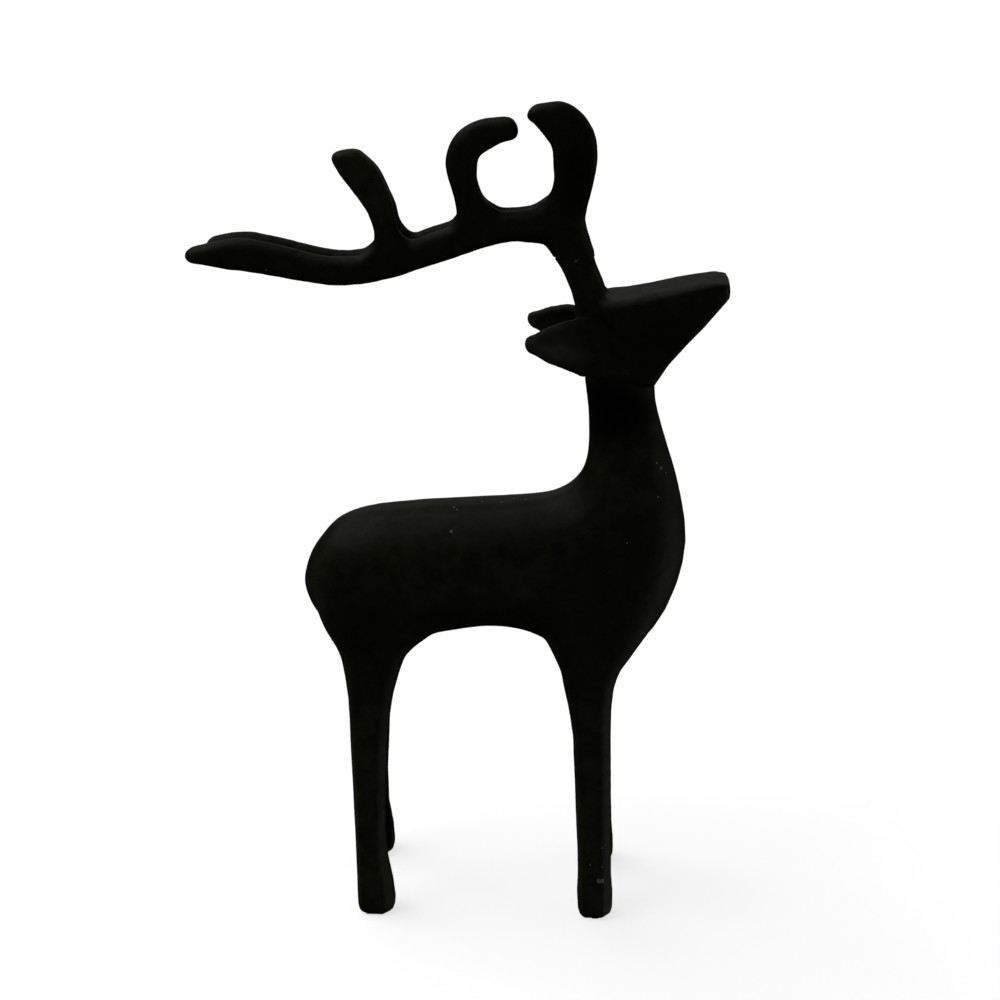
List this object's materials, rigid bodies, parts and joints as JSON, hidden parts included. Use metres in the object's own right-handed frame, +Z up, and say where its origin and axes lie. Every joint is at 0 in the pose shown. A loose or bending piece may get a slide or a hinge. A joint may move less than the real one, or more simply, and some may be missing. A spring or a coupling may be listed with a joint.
{
  "type": "cast iron stag statue",
  "caption": "Standing stag with raised head and swept back antlers, cast in matte black iron, a table or mantel ornament that rests on its own hooves.",
  "frame": {"origin": "on the ground under the middle of the whole figure's bounding box", "axes": "+Z up, +X towards the nose, +Y to the stag's left side"},
  "size_m": [0.2056, 0.061, 0.3315],
  "materials": {
    "black_iron": "matte black coat on sand cast iron"
  },
  "bodies": {
    "root": {"stag_body": "black_iron", "antler_right": "black_iron", "antler_left": "black_iron"}
  },
  "joints": []
}
